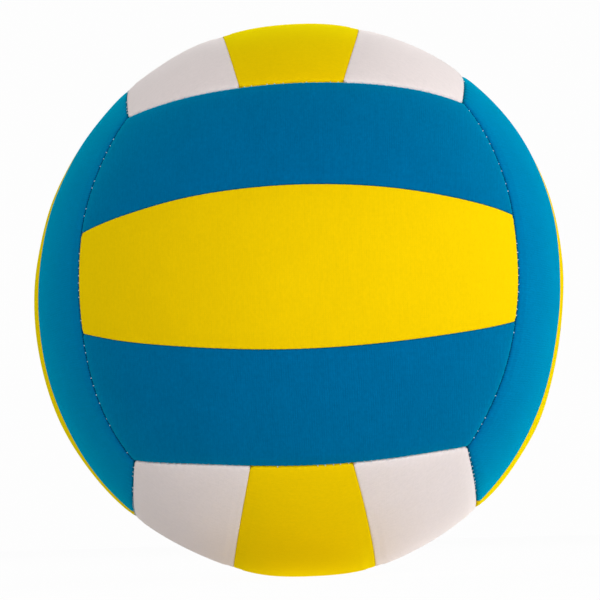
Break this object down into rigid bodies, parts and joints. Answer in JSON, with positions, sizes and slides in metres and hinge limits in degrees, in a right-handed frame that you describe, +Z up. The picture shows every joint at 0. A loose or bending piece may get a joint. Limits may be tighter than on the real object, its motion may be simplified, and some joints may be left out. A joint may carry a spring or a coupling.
{
  "type": "volleyball",
  "caption": "Soft volleyball with padded, knit-faced panels sewn in groups of parallel strips round an inflated bladder with a needle valve.",
  "frame": {"origin": "centre of the ball", "axes": "+Z up; the group of panels seen in the picture faces -Y, and the valve is on +Y"},
  "size_m": [0.206, 0.2099, 0.214],
  "materials": {
    "blue_skin": "fine knit facing, soft sheen",
    "yellow_skin": "fine knit facing, soft sheen",
    "white_skin": "fine knit facing, soft sheen",
    "foam": "closed-cell foam",
    "lining_cloth": "plain woven cotton blend",
    "thread": "twisted polyester",
    "bladder_rubber": "butyl rubber",
    "boot_rubber": "moulded rubber",
    "core_rubber": "moulded rubber"
  },
  "bodies": {
    "root": {"front_lower_skin": "blue_skin", "front_middle_skin": "yellow_skin", "front_upper_skin": "blue_skin", "back_lower_skin": "blue_skin", "back_middle_skin": "yellow_skin", "back_upper_skin": "blue_skin", "left_front_skin": "blue_skin", "left_middle_skin": "yellow_skin", "left_back_skin": "blue_skin", "right_front_skin": "blue_skin", "right_middle_skin": "yellow_skin", "right_back_skin": "blue_skin", "top_left_skin": "white_skin", "top_middle_skin": "yellow_skin", "top_right_skin": "white_skin", "bottom_left_skin": "white_skin", "bottom_middle_skin": "yellow_skin", "bottom_right_skin": "white_skin", "front_lower_foam": "foam", "front_middle_foam": "foam", "front_upper_foam": "foam", "back_lower_foam": "foam", "back_middle_foam": "foam", "back_upper_foam": "foam", "left_front_foam": "foam", "left_middle_foam": "foam", "left_back_foam": "foam", "right_front_foam": "foam", "right_middle_foam": "foam", "right_back_foam": "foam", "top_left_foam": "foam", "top_middle_foam": "foam", "top_right_foam": "foam", "bottom_left_foam": "foam", "bottom_middle_foam": "foam", "bottom_right_foam": "foam", "front_linings": "lining_cloth", "back_linings": "lining_cloth", "left_linings": "lining_cloth", "right_linings": "lining_cloth", "top_linings": "lining_cloth", "bottom_linings": "lining_cloth", "front_inner_threads": "thread", "back_inner_threads": "thread", "left_inner_threads": "thread", "right_inner_threads": "thread", "top_inner_threads": "thread", "bottom_inner_threads": "thread", "front_edge_threads": "thread", "back_edge_threads": "thread", "left_edge_threads": "thread", "right_edge_threads": "thread", "top_edge_threads": "thread", "bottom_edge_threads": "thread", "bladder": "bladder_rubber", "balance_patch": "bladder_rubber", "valve_boot": "boot_rubber", "valve_core": "core_rubber", "valve_patch": "lining_cloth"}
  },
  "joints": []
}
